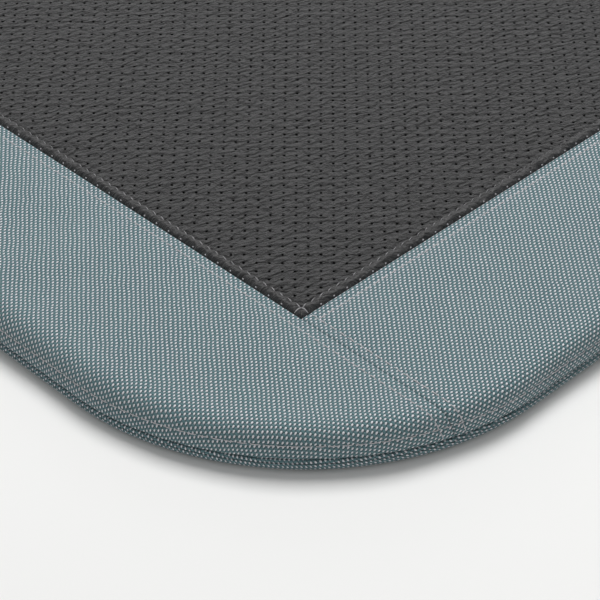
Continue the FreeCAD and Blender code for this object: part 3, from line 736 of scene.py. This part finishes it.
def zip_tape(name, side, material):
    """A woven tape with a ribbed edge along the coil and a slight wave."""
    low, high = span(name)
    rows, columns = 24, 400
    x = np.linspace(low[0], high[0], columns)
    y = np.linspace(low[1], high[1], rows)
    flat = np.stack(np.meshgrid(x, y), axis=-1).reshape(-1, 2)
    from_coil = np.abs(flat[:, 1] - (low[1] if side > 0 else high[1]))
    rib = 0.12 * np.exp(-((from_coil - 1.0) / 0.35) ** 2)
    wave = 0.06 * np.sin(flat[:, 0] / 7) * np.clip(from_coil / 6, 0, 1)
    place = np.column_stack([flat, low[2] + 0.12 - rib + wave])
    obj = new_piece(name + "_weave", place, grid_faces(rows, columns), material, cloth=flat)
    thick = obj.modifiers.new("Thickness", "SOLIDIFY")
    thick.thickness = TAPE_THICKNESS * MM
    thick.offset = 1
    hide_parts(name)
    return obj


# ------------ materials
class Field:
    """A number that varies over a surface. Arithmetic on it adds Math nodes to its material."""

    def __init__(self, tree, socket):
        self.tree = tree
        self.socket = socket

    def apply(self, operation, *others):
        node = self.tree.nodes.new("ShaderNodeMath")
        node.operation = operation
        for entry, value in zip(node.inputs, (self, *others)):
            if isinstance(value, Field):
                self.tree.links.new(value.socket, entry)
            else:
                entry.default_value = value
        return Field(self.tree, node.outputs[0])

    def __add__(self, other):
        return self.apply("ADD", other)

    def __sub__(self, other):
        return self.apply("SUBTRACT", other)

    def __mul__(self, other):
        return self.apply("MULTIPLY", other)

    def floor(self):
        return self.apply("FLOOR")

    def fract(self):
        return self.apply("FRACT")

    def size(self):
        return self.apply("ABSOLUTE")

    def cos(self):
        return self.apply("COSINE")

    def sin(self):
        return self.apply("SINE")

    def at_least(self, low):
        return self.apply("MAXIMUM", low)

    def power(self, exponent):
        return self.apply("POWER", exponent)

    def between(self, low, high):
        """0 at low and below, 1 at high and above, with a smooth step."""
        node = self.tree.nodes.new("ShaderNodeMapRange")
        node.interpolation_type = "SMOOTHSTEP"
        self.tree.links.new(self.socket, node.inputs["Value"])
        node.inputs["From Min"].default_value = low
        node.inputs["From Max"].default_value = high
        return Field(self.tree, node.outputs["Result"])


class Paint:
    """A material under construction."""

    def __init__(self, name, roughness, metallic=0.0):
        self.material = bpy.data.materials.new(name)
        self.material.use_nodes = True
        self.tree = self.material.node_tree
        self.shader = self.tree.nodes["Principled BSDF"]
        self.shader.inputs["Roughness"].default_value = roughness
        self.shader.inputs["Metallic"].default_value = metallic

    def set(self, name, value):
        self.shader.inputs[name].default_value = value

    def place(self, attribute=None):
        """The coordinates that patterns use, in millimetres: the piece's own, or an attribute's."""
        if attribute:
            node = self.tree.nodes.new("ShaderNodeAttribute")
            node.attribute_name = attribute
            return node.outputs["Vector"]
        node = self.tree.nodes.new("ShaderNodeTexCoord")
        return self.vector("SCALE", node.outputs["Object"], scale=1 / MM)

    def vector(self, operation, first, second=None, scale=None):
        node = self.tree.nodes.new("ShaderNodeVectorMath")
        node.operation = operation
        self.tree.links.new(first, node.inputs[0])
        if scale is not None:
            node.inputs["Scale"].default_value = scale
        elif isinstance(second, tuple):
            node.inputs[1].default_value = second
        else:
            self.tree.links.new(second, node.inputs[1])
        return node.outputs["Vector"]

    def split(self, place):
        node = self.tree.nodes.new("ShaderNodeSeparateXYZ")
        self.tree.links.new(place, node.inputs[0])
        return [Field(self.tree, node.outputs[axis]) for axis in "XYZ"]

    def join(self, x, y):
        node = self.tree.nodes.new("ShaderNodeCombineXYZ")
        self.tree.links.new(x.socket, node.inputs["X"])
        self.tree.links.new(y.socket, node.inputs["Y"])
        return node.outputs["Vector"]

    def texture(self, kind, place, scale):
        node = self.tree.nodes.new(kind)
        self.tree.links.new(place, node.inputs["Vector"])
        node.inputs["Scale"].default_value = scale
        return node

    def noise(self, place, scale, detail=2.0, rough=0.5):
        """Noise around 0.5, with features about 1 / scale millimetres wide."""
        node = self.texture("ShaderNodeTexNoise", place, scale)
        node.inputs["Detail"].default_value = detail
        node.inputs["Roughness"].default_value = rough
        return Field(self.tree, node.outputs["Fac"])

    def cells(self, place, scale, feature="F1"):
        """Distance to the nearest of points about 1 / scale millimetres apart."""
        node = self.texture("ShaderNodeTexVoronoi", place, scale)
        node.feature = feature
        return Field(self.tree, node.outputs["Distance"])

    def blend(self, share, zero, one):
        """A colour that goes from zero to one; each is a colour or a colour socket."""
        node = self.tree.nodes.new("ShaderNodeMix")
        node.data_type = "RGBA"
        self.tree.links.new(share.socket, node.inputs["Factor"])
        for entry, colour in ((node.inputs[6], zero), (node.inputs[7], one)):
            if isinstance(colour, tuple):
                entry.default_value = (*colour, 1)
            else:
                self.tree.links.new(colour, entry)
        return node.outputs[2]

    def colour(self, socket):
        self.tree.links.new(socket, self.shader.inputs["Base Color"])

    def drive(self, name, field):
        """Lets one of the shader's inputs follow a field."""
        self.tree.links.new(field.socket, self.shader.inputs[name])

    def bump(self, height):
        """Bumps from a height in millimetres."""
        node = self.tree.nodes.new("ShaderNodeBump")
        node.inputs["Strength"].default_value = 1.0
        node.inputs["Distance"].default_value = MM
        self.tree.links.new(height.socket, node.inputs["Height"])
        self.tree.links.new(node.outputs["Normal"], self.shader.inputs["Normal"])


def cloth_paint():
    """Plain weave: pale yarns along Y over and under teal yarns along X."""
    paint = Paint("woven_cloth", 0.85)
    paint.set("Sheen Weight", 0.12)
    paint.set("Specular IOR Level", 0.25)
    flat = paint.place("flat_cloth")
    x, y, _ = paint.split(flat)
    # The yarns wander a little. Counting them tells which two cross here, and how far off centre.
    drift_x = paint.noise(flat, 0.16) - 0.5
    elsewhere = paint.vector("ADD", flat, (37.0, 11.0, 5.0))
    drift_y = paint.noise(elsewhere, 0.16) - 0.5
    pale_count = (x + drift_x * 0.9) * (1 / YARN[0])
    teal_count = (y + drift_y * 0.9) * (1 / YARN[1])
    pale_across = pale_count.fract() - 0.5
    teal_across = teal_count.fract() - 0.5
    # 0 at crossings with the pale yarn on top and 1 at the others, like a chessboard.
    teal_over = ((pale_count.floor() + teal_count.floor()) * 0.5).fract() * 2
    from_pale = pale_across.size()
    teal_along = teal_over * (from_pale * 2 - 1) + (from_pale * -1 + 1)
    teal_round = ((teal_across * 2).power(2.0) * -1 + 1).at_least(0).power(0.5)
    teal_high = (teal_along * math.pi).cos() * 0.16 + teal_round * 0.34
    # Where a pale yarn is on top it shows as a leaning oval of varying fullness.
    thickness = paint.noise(flat, 1.1, 1.0) - 0.5
    leaning = pale_across + teal_across * LEAN
    float_shape = (leaning * (1 / FLOAT[0])).power(2.0) + (teal_across * (1 / FLOAT[1])).power(2.0)
    pale_up = ((float_shape + thickness * 0.5) * -1 + 1) * (teal_over * -1 + 1)
    shows_pale = pale_up.between(0.0, 0.22)
    # Beside each float, on its lower side, the weave sinks into a crevice, which the painted shade
    # below also darkens.
    crevice = leaning.between(0.12, 0.34) * (teal_over * -1 + 1)
    height = (teal_high - crevice * 0.22).at_least(pale_up.at_least(0).power(0.5) * 0.66)
    fibre = paint.noise(flat, 5.0, 3.0, 0.7)
    shade = paint.noise(flat, 0.05, 3.0)
    pale = paint.blend(fibre.between(0.3, 0.75), (0.68, 0.68, 0.72), (0.90, 0.90, 0.94))
    teal = paint.blend(fibre.between(0.3, 0.7), (0.085, 0.160, 0.178), (0.145, 0.252, 0.272))
    teal = paint.blend(shade.between(0.35, 0.7), teal, (0.105, 0.192, 0.212))
    yarns = paint.blend(shows_pale, teal, pale)
    # Painted shade: where the weave lies low, between and beside the yarns and in the crevices, the
    # colour is blended towards dark teal.
    deep = height.between(0.0, 0.36)
    paint.colour(paint.blend(deep, (0.030, 0.055, 0.062), yarns))
    paint.bump(height * 0.6 + fibre * 0.05)
    return paint.material


def hide_paint(name, perforated):
    """Fine-grained soft black leather cloth, drawn in a little round each perforation."""
    paint = Paint(name, 0.5)
    paint.set("Sheen Weight", 0.15)
    paint.set("Sheen Roughness", 0.35)
    place = paint.place()
    x, y, _ = paint.split(place)
    # The creases run this way over the panel, and are twice as long as wide.
    lie = math.radians(70)
    lengthwise = (x * math.cos(lie) + y * math.sin(lie)) * 0.5
    crosswise = y * math.cos(lie) - x * math.sin(lie)
    grain = paint.join(lengthwise, crosswise)
    wander = paint.texture("ShaderNodeTexNoise", grain, 0.4).outputs["Color"]
    bent = paint.vector("ADD", grain, paint.vector("SCALE", wander, scale=1.1))
    pebbles = paint.cells(bent, 0.8, "SMOOTH_F1")
    creases = paint.noise(bent, 0.55, 4.0, 0.55)
    pores = paint.cells(place, 3.2)
    height = creases * 7.0 - pebbles * 0.9 + pores.between(0.0, 0.25) * 0.04
    tone = paint.noise(place, 0.07, 3.0)
    # Painted shade: the colour is darker in the hollows of the creases than on their ridges.
    low = paint.blend(creases.between(0.3, 0.7), (0.017, 0.017, 0.018), (0.033, 0.033, 0.034))
    colour = paint.blend(tone.between(0.35, 0.65), low, (0.027, 0.027, 0.028))
    if perforated:
        # Distance from the nearest hole, from this point's place in the holes' lattice.
        column = (x * -1 + (PANEL[0] - HOLE_START)) * (0.5 / HOLE_STEP)
        row = (y + (PANEL[1] - HOLE_START)) * (0.5 / HOLE_STEP)
        along = ((column + row).fract() - 0.5) * HOLE_PITCH
        aside = ((column - row).fract() - 0.5) * HOLE_PITCH
        away = (along.power(2.0) + aside.power(2.0)).power(0.5)
        # Painted shade: in and just round each hole the colour goes near black and the specular is
        # turned off.
        around = away.between(HOLE_RADIUS * 1.02, HOLE_RADIUS * 1.5)
        colour = paint.blend(around, (0.008, 0.008, 0.008), colour)
        paint.drive("Specular IOR Level", around * 0.48)
        height = height + away.between(HOLE_RADIUS, 1.15) * 0.16
    paint.colour(colour)
    paint.drive("Roughness", creases.between(0.25, 0.8) * -0.12 + 0.47)
    paint.bump(height * (0.75 if perforated else 0.4))
    return paint.material


def thread_paint(name, dark, light):
    """Twisted thread: its plies run round it at a slant."""
    paint = Paint(name, 0.62)
    paint.set("Sheen Weight", 0.2)
    along, around, _ = paint.split(paint.place("flat_cloth"))
    ply = ((along * 1.6 + around * 2) * (2 * math.pi)).sin() * 0.5 + 0.5
    fuzz = paint.noise(paint.place(), 3.0, 2.0)
    # Painted shade: the colour is darker in the grooves between the plies, with random tone from the
    # fuzz.
    paint.colour(paint.blend(ply * 0.6 + fuzz * 0.5, dark, light))
    paint.bump(ply.power(0.6) * 0.06)
    return paint.material


def tape_paint():
    """Herringbone tape of dark polyester."""
    paint = Paint("zip_tape_weave", 0.8)
    x, y, _ = paint.split(paint.place("flat_cloth"))
    slant = (y * 0.5).fract().between(0.48, 0.52) * 2 - 1
    rib = ((x + y * slant) * (2 * math.pi / 0.8)).sin() * 0.5 + 0.5
    tone = paint.noise(paint.place(), 0.8, 3.0)
    # Painted shade: the colour is darker between the ribs, with random tone.
    paint.colour(paint.blend(rib * 0.6 + tone * 0.4, (0.020, 0.024, 0.027), (0.072, 0.082, 0.088)))
    paint.bump(rib * 0.08)
    return paint.material


def coil_paint():
    """Moulded dark nylon wire with a soft shine."""
    paint = Paint("zip_nylon", 0.35)
    tone = paint.noise(paint.place(), 0.9, 2.0)
    paint.colour(paint.blend(tone, (0.026, 0.027, 0.030), (0.060, 0.062, 0.067)))
    paint.bump(paint.noise(paint.place(), 6.0, 1.0) * 0.015)
    return paint.material


def metal_paint():
    """Painted zinc: dark enamel with fine orange peel and brighter rubbed patches."""
    paint = Paint("zip_enamel", 0.4, metallic=0.75)
    place = paint.place()
    rubbed = paint.noise(place, 1.3, 5.0, 0.7).between(0.58, 0.72)
    tone = paint.noise(place, 0.5, 2.0)
    enamel = paint.blend(tone, (0.075, 0.077, 0.082), (0.125, 0.128, 0.135))
    paint.colour(paint.blend(rubbed * 0.5, enamel, (0.42, 0.42, 0.41)))
    paint.drive("Roughness", tone * 0.18 + 0.28)
    paint.bump(paint.noise(place, 5.0, 2.0) * 0.02)
    return paint.material


def foam_paint():
    """Open-cell foam."""
    paint = Paint("foam_cells", 0.95)
    place = paint.place()
    holes = paint.cells(place, 1.4).between(0.08, 0.4)
    tone = paint.noise(place, 0.06, 3.0)
    pale = paint.blend(tone, (0.62, 0.60, 0.50), (0.80, 0.79, 0.70))
    # Painted shade: the colour is darker in the open cells.
    paint.colour(paint.blend(holes, (0.34, 0.33, 0.27), pale))
    paint.bump(holes * 0.3)
    return paint.material


def wadding_paint():
    """Bonded polyester wadding."""
    paint = Paint("wadding_fibres", 0.95)
    place = paint.place()
    lint = paint.noise(paint.vector("MULTIPLY", place, (1.0, 0.35, 1.0)), 1.8, 6.0, 0.75)
    paint.colour(paint.blend(lint.between(0.3, 0.7), (0.50, 0.50, 0.49), (0.80, 0.80, 0.78)))
    paint.bump(lint * 0.5)
    return paint.material


def floor_paint():
    """Pale matt paper."""
    paint = Paint("studio_floor", 0.8)
    paint.set("Specular IOR Level", 0.2)
    tone = paint.noise(paint.place(), 0.004, 3.0)
    paint.colour(paint.blend(tone, (0.84, 0.84, 0.83), (0.87, 0.87, 0.86)))
    return paint.material


# ------------ the object
def dress(node, material):
    """Gives a CAD node a material of its own."""
    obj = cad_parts[node]
    for slot in obj.material_slots:
        slot.material = material


cloth = cloth_paint()
hide = hide_paint("grained_hide", True)
band_hide = hide_paint("grained_hide_band", False)
grey_thread = thread_paint("grey_thread", (0.22, 0.22, 0.23), (0.58, 0.57, 0.59))
pale_thread = thread_paint("pale_thread", (0.38, 0.37, 0.39), (0.66, 0.64, 0.67))
# Painted shade: the thread deep in the edge seam is near black so that the crack there looks dark.
seam_shade_thread = thread_paint("seam_shade_thread", (0.03, 0.04, 0.045), (0.10, 0.12, 0.13))
tape = tape_paint()
nylon = coil_paint()
enamel = metal_paint()

knee_field(hide)
knee_edge(band_hide)
for number, strip in enumerate(("right_strip", "rear_strip", "left_strip", "front_strip")):
    cover_strip(strip, number, cloth)
base_cloth("base_front", -1, cloth)
base_cloth("base_rear", 1, cloth)
seam_topstitch(grey_thread, pale_thread)
rim_rows(pale_thread, seam_shade_thread)
joining_stitches(pale_thread)
base_rows(pale_thread)
for half_name, half_side in (("front", -1), ("rear", 1)):
    zip_coil("zip_coil_" + half_name, half_side, nylon)
    zip_tape("zip_tape_" + half_name, half_side, tape)
for metal_node in ("zip_top_stops", "zip_bottom_stop", "zip_slider", "zip_pull"):
    dress(metal_node, enamel)
dress("foam_core", foam_paint())
dress("panel_wadding", wadding_paint())


# ------------ studio
def studio_floor():
    """A wide floor, a hair below the pad."""
    mesh = bpy.data.meshes.new("studio_floor")
    reach, level = 6.0, -0.0002
    corners = [(-reach, -reach), (reach, -reach), (reach, reach), (-reach, reach)]
    mesh.from_pydata([(x, y, level) for x, y in corners], [], [(0, 1, 2, 3)])
    mesh.materials.append(floor_paint())
    obj = bpy.data.objects.new("studio_floor", mesh)
    bpy.context.scene.collection.objects.link(obj)


def softbox(name, place, aim, size, watts):
    """A rectangular lamp at a place, in metres, that faces a point."""
    lamp = bpy.data.lights.new(name, "AREA")
    lamp.shape = "RECTANGLE"
    lamp.size, lamp.size_y = size
    lamp.energy = watts
    obj = bpy.data.objects.new(name, lamp)
    obj.location = place
    obj.rotation_euler = (Vector(aim) - Vector(place)).to_track_quat("-Z", "Y").to_euler()
    bpy.context.scene.collection.objects.link(obj)


def camera():
    """The photograph's view: a long lens that looks down over the pad's front right corner."""
    data = bpy.data.cameras.new("camera")
    data.lens = 151.1
    data.sensor_width = 36.0
    data.clip_start = 0.01
    obj = bpy.data.objects.new("camera", data)
    panel_corner = Vector((PANEL[0], -PANEL[1], TOP))
    from_corner = Vector((416.0, -411.6, 483.9))
    obj.location = (panel_corner + from_corner) * MM
    heading = math.radians(45.34)
    down = math.radians(39.17)
    level = math.cos(down)
    ahead = Vector((-math.sin(heading) * level, math.cos(heading) * level, -math.sin(down)))
    obj.rotation_euler = ahead.to_track_quat("-Z", "Y").to_euler()
    bpy.context.scene.collection.objects.link(obj)
    bpy.context.scene.camera = obj


def surroundings():
    """Even white light from all round, and plain colours."""
    world = bpy.data.worlds.new("studio")
    world.use_nodes = True
    light = world.node_tree.nodes["Background"]
    light.inputs["Color"].default_value = (1.0, 1.0, 1.0, 1)
    light.inputs["Strength"].default_value = 0.35
    bpy.context.scene.world = world
    bpy.context.scene.view_settings.view_transform = "Standard"


studio_floor()
softbox("rear_window", (-0.25, 0.5, 1.4), (0.15, -0.1, 0.0), (0.6, 0.8), 20.5)
softbox("low_rear", (-1.05, 1.05, 0.55), (0.1, -0.1, 0.0), (1.6, 0.5), 3)
softbox("front_fill", (1.2, -1.2, 0.9), (0.0, 0.0, 0.0), (1.0, 1.0), 2)
camera()
surroundings()
